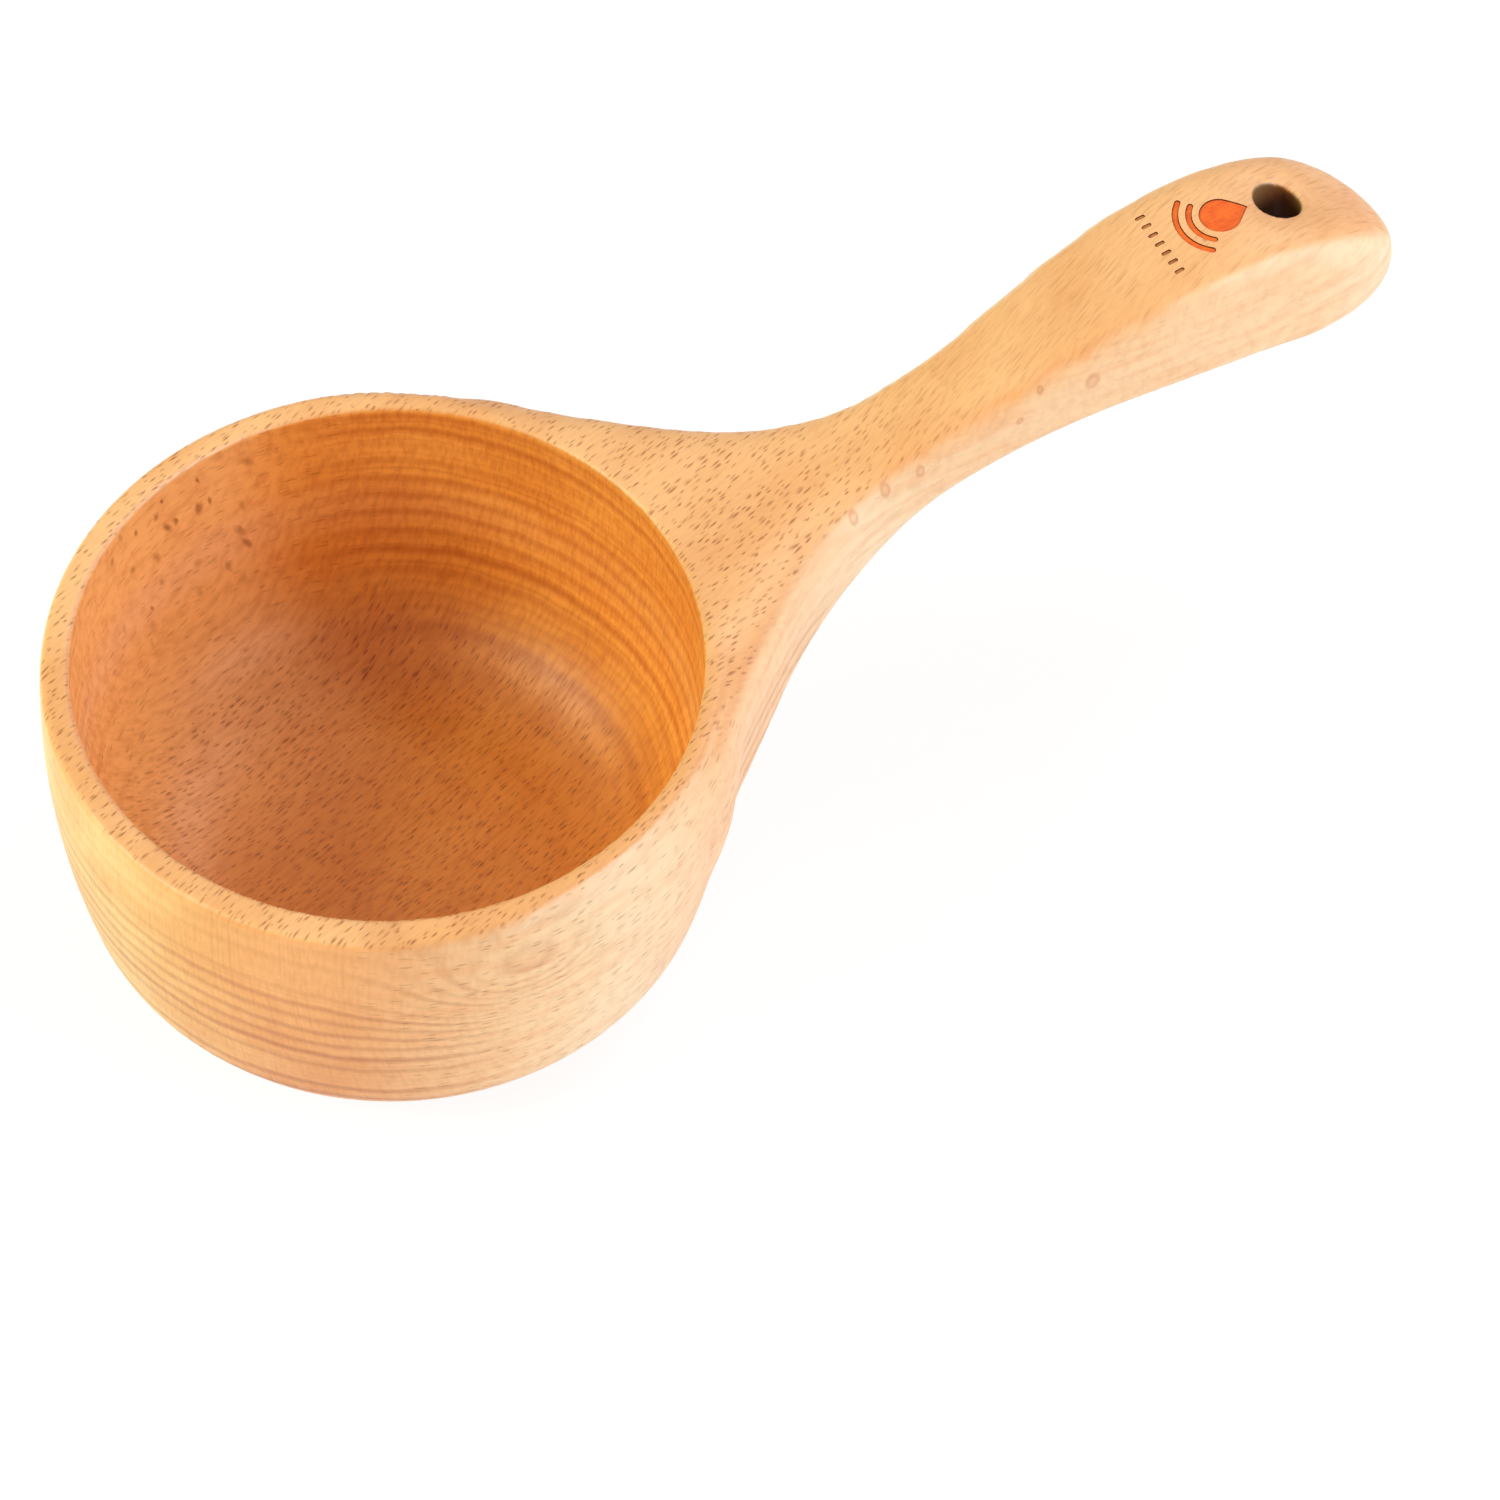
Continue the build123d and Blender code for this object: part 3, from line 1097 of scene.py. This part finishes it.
        # The middle part of each circle becomes the stroke's run, and the parts beside it the round ends.
        run = g.first("ShaderNodeClamp", {0: g.times(x, self.ripple_parts), 1: -1.0, 2: 1.0})
        past_run = g.math("SUBTRACT", x, g.math("DIVIDE", run, self.ripple_parts))
        cap = g.times(past_run, self.ripple_parts / (self.ripple_parts - 1.0))
        arc = g.times(own, g.times(sweep, 0.5))
        along = g.math("ADD", g.times(run, arc), g.times(cap, half))
        level = g.math("SQRT", g.most(g.rest(g.times(cap, cap)), 0.0))
        across = g.times(g.math("SIGN", y), level, half)
        angle = g.math("ADD", g.math("DIVIDE", along, own), math.pi)
        reach = g.math("SUBTRACT", own, across)
        bent = g.joined(g.times(g.math("COSINE", angle), reach), g.times(g.math("SINE", angle), reach))
        self.slab(tool, g.moved(rings, "Position", g.vector("ADD", bent, where)))
        return tool

    def sizes(self, node: Node, grow: float) -> dict[str, Any]:
        """The inputs of one figure's tree, with its outline moved out by an amount.

        Args:
            node: Which figure.
            grow: How far the outline moves out.

        Returns:
            The inputs by name.
        """
        if node is Node.DROP:
            return {"Radius": self.drop_radius + grow, "Place": self.drop_place,
                    "Shoulder": math.acos(self.drop_radius / (self.drop_length - self.drop_radius))}
        if node is Node.RIPPLES:
            return {"Count": self.ripple_count, "Step": self.ripple_width + self.ripple_gap,
                    "First_Radius": self.drop_radius + self.ripple_gap + self.ripple_width / 2,
                    "Width": self.ripple_width + 2 * grow, "Sweep": math.radians(self.ripple_sweep),
                    "Place": self.drop_place}
        return {"Count": self.stroke_count, "Pitch": self.stroke_pitch, "Length": self.stroke_length + 2 * grow,
                "Width": self.stroke_width + 2 * grow, "Place": self.stroke_place}

    def build(self, body: bpy.types.Object, recess_shade: bpy.types.Material) -> dict[Node, tuple[bpy.types.Object, ...]]:
        """Each figure's fill and the cutter of its recess, laid along the uncut wood.

        Args:
            body: The carved body before it is cut.
            recess_shade: The material of the recess's walls, a dark brown that paints shade into the recess.

        Returns:
            Fill and cutter by node.
        """
        tools = {Node.DROP: self.drop_tool(), Node.RIPPLES: self.ripple_tool(), Node.STROKES: self.stroke_tool()}
        paints = {Slot.ORANGE: self.orange.material(), Slot.BROWN: self.brown.material()}
        made = {}
        for node, tool in tools.items():
            name = node.value.replace("inlay", "paint")
            gap = self.stroke_gap if node is Node.STROKES else self.gap
            fill = tool.run(bpy.data.meshes.new("seed"), name, Wood=body, Top=-self.sunk,
                            Thickness=self.depth - self.sunk, Finish=paints[SLOTS[node]], **self.sizes(node, -gap))
            cutter = tool.run(bpy.data.meshes.new("seed"), name + "_cutter", Wood=body, Top=self.depth,
                              Thickness=2 * self.depth, Finish=recess_shade, **self.sizes(node, 0.0))
            made[node] = (placed(name, fill), placed(name + "_cutter", cutter))
        return made


@dataclass(frozen=True)
class Lamp:
    """A square soft lamp, with its side in metres and its power in watts."""

    name: str
    place: Triple
    size: float
    power: float
    colour: Triple

    def hang(self, aim: Triple) -> None:
        """Puts the lamp in its place.

        Args:
            aim: What it points at.
        """
        data = bpy.data.lights.new(self.name, "AREA")
        data.size = self.size
        data.energy = self.power
        data.color = self.colour
        made = placed(self.name, data)
        made.location = self.place
        made.rotation_mode = "QUATERNION"
        made.rotation_quaternion = (Vector(aim) - Vector(self.place)).to_track_quat("-Z", "Y")


@dataclass
class Studio:
    """A white table, soft lamps and the camera."""

    camera_distance: float = 2.0
    elevation: float = 53.68
    azimuth: float = 30.0
    roll: float = 0.623
    lens: float = 262.95
    sensor: float = 36.0
    clip: Pair = (0.1, 20.0)
    frame_offset: Pair = (65.90 * MM, -16.25 * MM)
    frame_origin: Triple = (0.75 * MM, 1.0 * MM, 66.0 * MM)
    table_size: float = 4.0
    table_drop: float = 0.2 * MM
    table_paint: Colour = (0.86, 0.86, 0.86, 1.0)
    table_glow: float = 1.09
    table_glow_share: float = 0.8
    lamp_aim: Triple = (0.06, 0.0, 0.05)
    lamps: tuple[Lamp, ...] = (
        Lamp("right_box", (0.62, -0.92, 0.48), 0.6, 7.5, (1.0, 0.97, 0.96)),
        Lamp("left_box", (-0.91, 0.27, 0.68), 0.6, 11.6, (0.93, 1.0, 0.68)),
        Lamp("overhead_box", (0.86, 0.24, 0.95), 0.7, 4.8, (1.0, 0.97, 0.96)))
    room_light: float = 0.35

    def camera(self) -> None:
        """The camera at the photographed viewing angle."""
        a, e, r = (math.radians(v) for v in (self.azimuth, self.elevation, self.roll))
        right = Vector((math.cos(a), -math.sin(a), 0.0))
        up = Vector((math.sin(a) * math.sin(e), math.cos(a) * math.sin(e), math.cos(e)))
        back = right.cross(up)
        place = Vector(self.frame_origin) + right * self.frame_offset[0] + up * self.frame_offset[1]
        place += back * self.camera_distance
        side = right * math.cos(r) + up * math.sin(r)
        top = up * math.cos(r) - right * math.sin(r)
        data = bpy.data.cameras.new("camera")
        data.lens = self.lens
        data.sensor_width = self.sensor
        data.clip_start, data.clip_end = self.clip
        made = placed("camera", data)
        made.matrix_world = Matrix.Translation(place) @ Matrix((side, top, back)).transposed().to_4x4()
        bpy.context.scene.camera = made

    def table(self) -> None:
        """A wide white table, which shows near white and keeps a soft shadow."""
        mesh = bpy.data.meshes.new("table")
        with edited(mesh) as work:
            bmesh.ops.create_grid(work, x_segments=1, y_segments=1, size=self.table_size)
            bmesh.ops.translate(work, verts=work.verts, vec=(0.0, 0.0, -self.table_drop))
        made = bpy.data.materials.new("white_table")
        made.use_nodes = True
        made.node_tree.nodes.clear()
        g = Graph(made.node_tree)
        path = g.node("ShaderNodeLightPath").outputs
        seen = g.most(path["Is Camera Ray"], path["Is Glossy Ray"])
        paint = g.first("ShaderNodeBsdfDiffuse", {"Color": self.table_paint})
        glow = g.first("ShaderNodeEmission", {"Color": WHITE, "Strength": self.table_glow})
        both = g.first("ShaderNodeMixShader", {0: g.times(seen, self.table_glow_share), 1: paint, 2: glow})
        g.node("ShaderNodeOutputMaterial", {"Surface": both})
        mesh.materials.append(made)
        placed("table", mesh)

    def build(self) -> None:
        """Sets up table, lamps, world, camera and colour management."""
        self.table()
        for lamp in self.lamps:
            lamp.hang(self.lamp_aim)
        world = bpy.data.worlds.new("room")
        world.use_nodes = True
        sky = world.node_tree.nodes["Background"].inputs
        sky["Color"].default_value = WHITE
        sky["Strength"].default_value = self.room_light
        bpy.context.scene.world = world
        bpy.context.scene.view_settings.view_transform = "Standard"
        self.camera()


def main() -> None:
    """Builds the studio and the dipper's pieces in order."""
    logging.basicConfig(level=logging.INFO, format="%(message)s")
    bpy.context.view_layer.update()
    nodes = frame["nodes"]
    Studio().build()
    ladle = CarvedLadle(finish=BeechFinish())
    mark = HandleMark(orange=PaintFill("orange_paint", srgb(248, 110, 12), srgb(230, 88, 8)),
                      brown=PaintFill("brown_paint", srgb(206, 128, 72), srgb(170, 94, 46)))
    body = ladle.build(nodes)
    # Painted shade: the recess walls are dark brown, as the shade in them looks.
    recess_shade = PaintFill("scorched_recess", srgb(120, 58, 22), srgb(84, 38, 14)).material()
    figures = mark.build(body, recess_shade)
    ladle.engrave(body, [cutter for _, cutter in figures.values()])
    pieces = {Node.LADLE: body, **{node: fill for node, (fill, _) in figures.items()}}
    for node, piece in pieces.items():
        clean(piece.data)
        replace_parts(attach(piece, BODY), node.value)
        log.info("%s: %d faces for %s", piece.name, len(piece.data.polygons), node.value)


if __name__ == "__main__":
    main()
